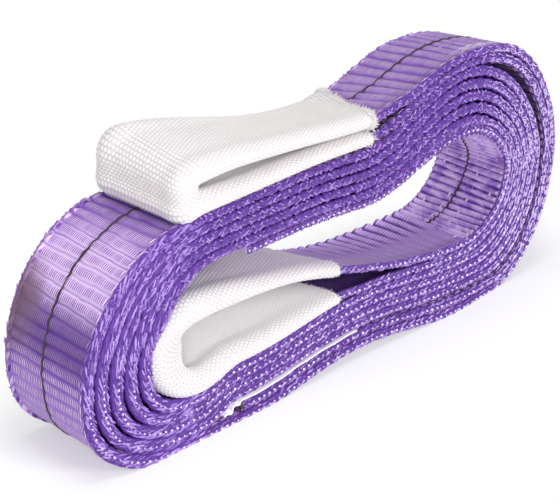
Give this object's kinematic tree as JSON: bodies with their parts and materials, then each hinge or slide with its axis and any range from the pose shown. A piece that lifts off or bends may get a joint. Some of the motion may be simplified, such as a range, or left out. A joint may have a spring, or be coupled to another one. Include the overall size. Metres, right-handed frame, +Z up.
{
  "type": "flat web sling",
  "caption": "Flat woven lifting sling with a sleeved eye sewn at each end, wound into a standing coil with one eye in its core and the other lying on top, free to lift.",
  "frame": {"origin": "floor under the middle of the coil's box", "axes": "+X along the coil towards the hump and the sewn end, +Y across the web away from the viewer, +Z up"},
  "size_m": [0.1681, 0.033, 0.0771],
  "materials": {
    "violet_web": "woven polyester web with a ribbed face and beaded edges",
    "sleeve_cloth": "plain woven white sleeve with frayed cut ends",
    "thread": "twisted white sewing thread",
    "label_cloth": "smooth bare label tape"
  },
  "bodies": {
    "coil": {"wound_web": "violet_web", "outer_tail_web": "violet_web", "inner_tail_web": "violet_web", "inner_eye_web": "violet_web", "inner_eye_sleeve": "sleeve_cloth", "outer_splice_stitching": "thread", "inner_splice_stitching": "thread", "label": "label_cloth", "label_stitching": "thread"},
    "outer_eye": {"outer_eye_web": "violet_web", "outer_eye_sleeve": "sleeve_cloth"}
  },
  "joints": [
    {"name": "outer_eye_lift", "type": "hinge", "parent": "coil", "child": "outer_eye", "pos_m": [0.01406, 0, 0.06365], "axis": [0.0357, 0.9632, -0.2665], "range_deg": [0, 100]}
  ]
}
